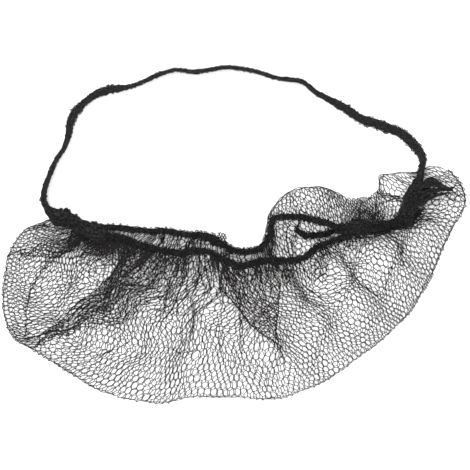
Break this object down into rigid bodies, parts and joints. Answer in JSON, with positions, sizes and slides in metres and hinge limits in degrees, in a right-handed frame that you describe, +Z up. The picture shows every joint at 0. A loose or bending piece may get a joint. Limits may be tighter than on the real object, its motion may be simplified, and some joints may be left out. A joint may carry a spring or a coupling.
{
  "type": "beard net",
  "caption": "Gathered honeycomb net pouch with elastic bands along its two lips, a long elastic head loop and a loose elastic tail, lying flat.",
  "frame": {"origin": "centre of the whole part's base, on the surface that it lies on", "axes": "+X across the net to the right as it lies, +Y from the pouch towards the head loop, +Z up"},
  "size_m": [0.2338, 0.1698, 0.0123],
  "materials": {
    "net": "fine black nylon thread knitted in a honeycomb, slightly glossy",
    "bunched_net": "black nylon net bunched under fuzzy stitching, matt",
    "elastic": "flat knitted charcoal elastic with a fuzzy matt surface"
  },
  "bodies": {
    "root": {"net_pouch": "net", "upper_lip_band": "elastic", "lower_lip_band": "elastic", "head_loop": "elastic", "loose_tail": "elastic", "left_gather": "bunched_net", "right_gather": "bunched_net", "right_tuft": "bunched_net"}
  },
  "joints": []
}
